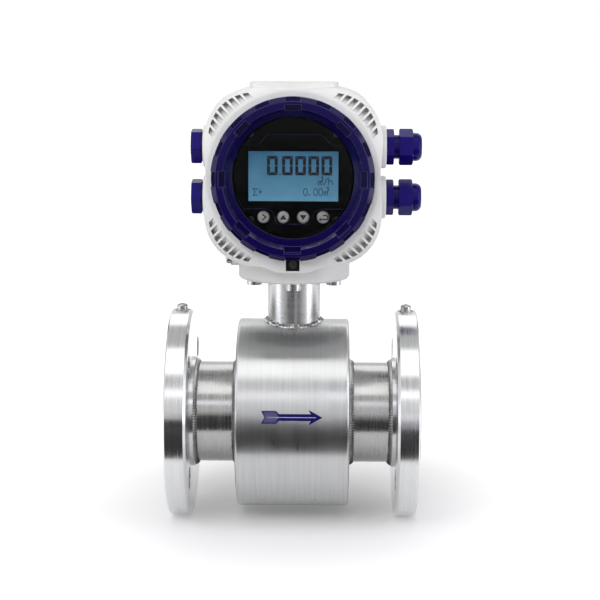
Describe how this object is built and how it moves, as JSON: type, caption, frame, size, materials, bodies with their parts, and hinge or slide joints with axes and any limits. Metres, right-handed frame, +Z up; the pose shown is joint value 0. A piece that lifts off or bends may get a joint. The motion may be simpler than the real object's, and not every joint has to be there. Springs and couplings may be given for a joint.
{
  "type": "electromagnetic flow meter",
  "caption": "Flanged full-bore flow tube with a round coil drum and a neck-mounted round converter head with a window display, push keys, cable glands and screw covers.",
  "frame": {"origin": "middle of the flow bore, halfway between the two sealing faces", "axes": "+X along the bore in the direction of the flow arrow, +Z up towards the converter head, the display faces -Y"},
  "size_m": [0.2005, 0.165, 0.3455],
  "materials": {
    "steel": "stainless steel, brushed round the axis",
    "weld": "bright TIG weld metal with fine ripples",
    "screw_steel": "plain steel fasteners",
    "liner": "white fluoropolymer lining",
    "insulator": "insulating bushes",
    "copper": "enamelled copper winding",
    "iron": "magnet iron",
    "housing_paint": "light warm grey powder coat on cast aluminium",
    "cover_paint": "deep violet-blue satin paint on cast aluminium",
    "gland_plastic": "violet-blue moulded polyamide",
    "arrow_print": "dark blue printed arrow",
    "window_glass": "clear flat glass",
    "rubber": "black seals",
    "panel": "glossy black display panel",
    "lcd": "blue backlit display with dark segments",
    "key_metal": "silver keys with blue symbols",
    "switch": "black switch bodies",
    "board": "green circuit board",
    "module": "potted black module",
    "post_brass": "brass spacers and terminal screws",
    "terminal": "black barrier strip",
    "dark_screw": "blackened steel screw",
    "cable": "grey cable sheath"
  },
  "bodies": {
    "meter": {"outlet_flange": "steel", "inlet_flange": "steel", "measuring_tube": "steel", "liner": "liner", "coil_housing": "steel", "end_plate_outlet": "steel", "end_plate_inlet": "steel", "sleeve_outlet": "steel", "sleeve_inlet": "steel", "weld_beads": "weld", "electrode_front": "steel", "electrode_rear": "steel", "electrode_insulators": "insulator", "pole_shoe_upper": "iron", "pole_shoe_lower": "iron", "coil_upper": "copper", "coil_lower": "copper", "magnet_yoke": "iron", "flow_arrow": "arrow_print", "flange_earth_screws": "screw_steel", "neck_tube": "steel", "neck_flange": "steel", "neck_gasket": "rubber", "neck_bolts": "screw_steel", "sensor_harness": "cable", "converter_housing": "housing_paint", "housing_earth_screw": "screw_steel", "cover_lock_screw": "dark_screw", "display_panel": "panel", "lcd_module": "lcd", "key_switches": "switch", "display_board": "board", "main_board": "board", "power_module": "module", "board_posts": "post_brass", "post_screws": "dark_screw", "terminal_block": "terminal", "terminal_screws": "post_brass", "gland_body_upper": "gland_plastic", "gland_body_lower": "gland_plastic"},
    "front_cover_seal_body": {"front_cover_seal": "rubber"},
    "front_cover_body": {"front_cover": "cover_paint", "glass_gasket": "rubber", "front_glass": "window_glass", "glass_retainer": "module"},
    "rear_cover_seal_body": {"rear_cover_seal": "rubber"},
    "rear_cover_body": {"rear_cover": "cover_paint"},
    "plug_upper_seal_body": {"plug_seal_upper": "rubber"},
    "plug_upper_body": {"plug_upper": "gland_plastic"},
    "gland_nut_upper_seal_body": {"gland_insert_upper": "rubber"},
    "gland_nut_upper_body": {"gland_nut_upper": "gland_plastic"},
    "plug_lower_seal_body": {"plug_seal_lower": "rubber"},
    "plug_lower_body": {"plug_lower": "gland_plastic"},
    "gland_nut_lower_seal_body": {"gland_insert_lower": "rubber"},
    "gland_nut_lower_body": {"gland_nut_lower": "gland_plastic"},
    "key_next_body": {"key_next": "key_metal"},
    "key_up_body": {"key_up": "key_metal"},
    "key_down_body": {"key_down": "key_metal"},
    "key_enter_body": {"key_enter": "key_metal"}
  },
  "joints": [
    {"name": "front_cover_travel", "type": "slide", "parent": "meter", "child": "front_cover_seal_body", "axis": [0, -1, 0], "range_m": [0, 0.0121]},
    {"name": "front_cover_turn", "type": "hinge", "parent": "front_cover_seal_body", "child": "front_cover_body", "pos_m": [0, 0, 0.192], "axis": [0, -1, 0], "range_deg": [0, 1440]},
    {"name": "rear_cover_travel", "type": "slide", "parent": "meter", "child": "rear_cover_seal_body", "axis": [0, 1, 0], "range_m": [0, 0.0121]},
    {"name": "rear_cover_turn", "type": "hinge", "parent": "rear_cover_seal_body", "child": "rear_cover_body", "pos_m": [0, 0, 0.192], "axis": [0, 1, 0], "range_deg": [0, 1440]},
    {"name": "plug_upper_travel", "type": "slide", "parent": "meter", "child": "plug_upper_seal_body", "axis": [-1, 0, 0], "range_m": [0, 0.0091]},
    {"name": "plug_upper_turn", "type": "hinge", "parent": "plug_upper_seal_body", "child": "plug_upper_body", "pos_m": [0, 0.014, 0.212], "axis": [-1, 0, 0], "range_deg": [0, 2160]},
    {"name": "gland_nut_upper_travel", "type": "slide", "parent": "meter", "child": "gland_nut_upper_seal_body", "axis": [1, 0, 0], "range_m": [0, 0.0046]},
    {"name": "gland_nut_upper_turn", "type": "hinge", "parent": "gland_nut_upper_seal_body", "child": "gland_nut_upper_body", "pos_m": [0, 0.014, 0.212], "axis": [1, 0, 0], "range_deg": [0, 1080]},
    {"name": "plug_lower_travel", "type": "slide", "parent": "meter", "child": "plug_lower_seal_body", "axis": [-1, 0, 0], "range_m": [0, 0.0091]},
    {"name": "plug_lower_turn", "type": "hinge", "parent": "plug_lower_seal_body", "child": "plug_lower_body", "pos_m": [0, 0.014, 0.172], "axis": [-1, 0, 0], "range_deg": [0, 2160]},
    {"name": "gland_nut_lower_travel", "type": "slide", "parent": "meter", "child": "gland_nut_lower_seal_body", "axis": [1, 0, 0], "range_m": [0, 0.0046]},
    {"name": "gland_nut_lower_turn", "type": "hinge", "parent": "gland_nut_lower_seal_body", "child": "gland_nut_lower_body", "pos_m": [0, 0.014, 0.172], "axis": [1, 0, 0], "range_deg": [0, 1080]},
    {"name": "key_next_press", "type": "slide", "parent": "meter", "child": "key_next_body", "axis": [0, 1, 0], "range_m": [0, 0.0008], "stiffness_N_per_m": 300, "springref_m": -0.001},
    {"name": "key_up_press", "type": "slide", "parent": "meter", "child": "key_up_body", "axis": [0, 1, 0], "range_m": [0, 0.0008], "stiffness_N_per_m": 300, "springref_m": -0.001},
    {"name": "key_down_press", "type": "slide", "parent": "meter", "child": "key_down_body", "axis": [0, 1, 0], "range_m": [0, 0.0008], "stiffness_N_per_m": 300, "springref_m": -0.001},
    {"name": "key_enter_press", "type": "slide", "parent": "meter", "child": "key_enter_body", "axis": [0, 1, 0], "range_m": [0, 0.0008], "stiffness_N_per_m": 300, "springref_m": -0.001}
  ],
  "couplings": [
    {"joint": "front_cover_travel", "follows": "front_cover_turn", "m_per_rad": 0.00047746},
    {"joint": "rear_cover_travel", "follows": "rear_cover_turn", "m_per_rad": 0.00047746},
    {"joint": "plug_upper_travel", "follows": "plug_upper_turn", "m_per_rad": 0.00023873},
    {"joint": "gland_nut_upper_travel", "follows": "gland_nut_upper_turn", "m_per_rad": 0.00023873},
    {"joint": "plug_lower_travel", "follows": "plug_lower_turn", "m_per_rad": 0.00023873},
    {"joint": "gland_nut_lower_travel", "follows": "gland_nut_lower_turn", "m_per_rad": 0.00023873}
  ]
}
